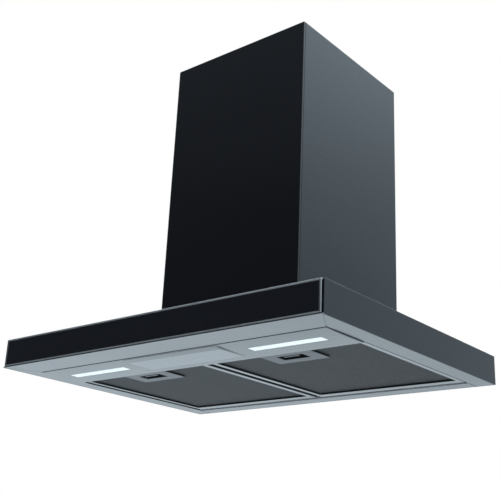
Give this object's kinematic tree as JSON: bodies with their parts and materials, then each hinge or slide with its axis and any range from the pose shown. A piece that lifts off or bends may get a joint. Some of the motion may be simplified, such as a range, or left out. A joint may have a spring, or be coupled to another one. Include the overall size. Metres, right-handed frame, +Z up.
{
  "type": "range hood",
  "caption": "Wall chimney range hood: flat box canopy with black glass front, two drop-down grease filters, two lamps, centrifugal fan, non-return flaps and telescopic chimney.",
  "frame": {"origin": "on the wall face of the fan box, midway between the two hanging keyholes, 260 mm above the underside", "axes": "+Z up, -Y out of the wall towards the cook, +X to the right of someone facing the hood"},
  "size_m": [0.6, 0.454, 0.5522],
  "materials": {
    "painted_steel": "satin black paint",
    "brushed_steel": "brushed",
    "black_glass": "polished black glass",
    "aluminium": "satin anodised",
    "filter_mesh": "expanded mesh",
    "lamp_lens": "frosted",
    "zinc_steel": "zinc coated",
    "black_plastic": "moulded",
    "grey_plastic": "moulded",
    "circuit_board": "solder mask",
    "motor_steel": "lacquered"
  },
  "bodies": {
    "hood": {"canopy_shell": "painted_steel", "underside_frame": "brushed_steel", "glass_trim": "aluminium", "front_glass": "black_glass", "touch_board": "circuit_board", "lamp_panel": "brushed_steel", "control_cover": "brushed_steel", "control_box": "black_plastic", "lamp_lens_left": "lamp_lens", "led_module_left": "aluminium", "lamp_lens_right": "lamp_lens", "led_module_right": "aluminium", "centre_rail": "zinc_steel", "fan_box": "zinc_steel", "scroll_housing": "zinc_steel", "inlet_ring_left": "zinc_steel", "inlet_ring_right": "zinc_steel", "fan_motor": "motor_steel", "motor_bracket": "zinc_steel", "outlet_collar": "black_plastic", "damper_pin": "zinc_steel", "terminal_box": "black_plastic", "cable_gland": "black_plastic", "run_capacitor": "aluminium", "chimney_glass": "black_glass", "chimney_lower": "painted_steel", "chimney_bracket": "zinc_steel"},
    "left_filter": {"filter_frame_left": "aluminium", "filter_mesh_left": "filter_mesh", "filter_handle_left": "brushed_steel"},
    "left_latch": {"latch_left": "grey_plastic"},
    "right_filter": {"filter_frame_right": "aluminium", "filter_mesh_right": "filter_mesh", "filter_handle_right": "brushed_steel"},
    "right_latch": {"latch_right": "grey_plastic"},
    "fan_wheel": {"impeller": "black_plastic"},
    "front_flap": {"damper_flap_front": "grey_plastic"},
    "rear_flap": {"damper_flap_rear": "grey_plastic"},
    "upper_chimney": {"chimney_upper": "painted_steel"}
  },
  "joints": [
    {"name": "left_filter_drop", "type": "hinge", "parent": "hood", "child": "left_filter", "pos_m": [-0.13637, -0.028, -0.254], "axis": [1, 0, 0], "range_deg": [0, 70]},
    {"name": "left_latch_pull", "type": "slide", "parent": "left_filter", "child": "left_latch", "axis": [0, 1, 0], "range_m": [0, 0.004], "stiffness_N_per_m": 300, "springref_m": -0.004},
    {"name": "right_filter_drop", "type": "hinge", "parent": "hood", "child": "right_filter", "pos_m": [0.13637, -0.028, -0.254], "axis": [1, 0, 0], "range_deg": [0, 70]},
    {"name": "right_latch_pull", "type": "slide", "parent": "right_filter", "child": "right_latch", "axis": [0, 1, 0], "range_m": [0, 0.004], "stiffness_N_per_m": 300, "springref_m": -0.004},
    {"name": "fan_spin", "type": "hinge", "parent": "hood", "child": "fan_wheel", "pos_m": [0, -0.115, -0.1], "axis": [-1, 0, 0], "continuous": true},
    {"name": "front_flap_swing", "type": "hinge", "parent": "hood", "child": "front_flap", "pos_m": [0, -0.177, 0.0563], "axis": [-1, 0, 0], "range_deg": [0, 75]},
    {"name": "rear_flap_swing", "type": "hinge", "parent": "hood", "child": "rear_flap", "pos_m": [0, -0.177, 0.0563], "axis": [1, 0, 0], "range_deg": [0, 75]},
    {"name": "chimney_extend", "type": "slide", "parent": "hood", "child": "upper_chimney", "axis": [0, 0, 1], "range_m": [0, 0.36]}
  ]
}
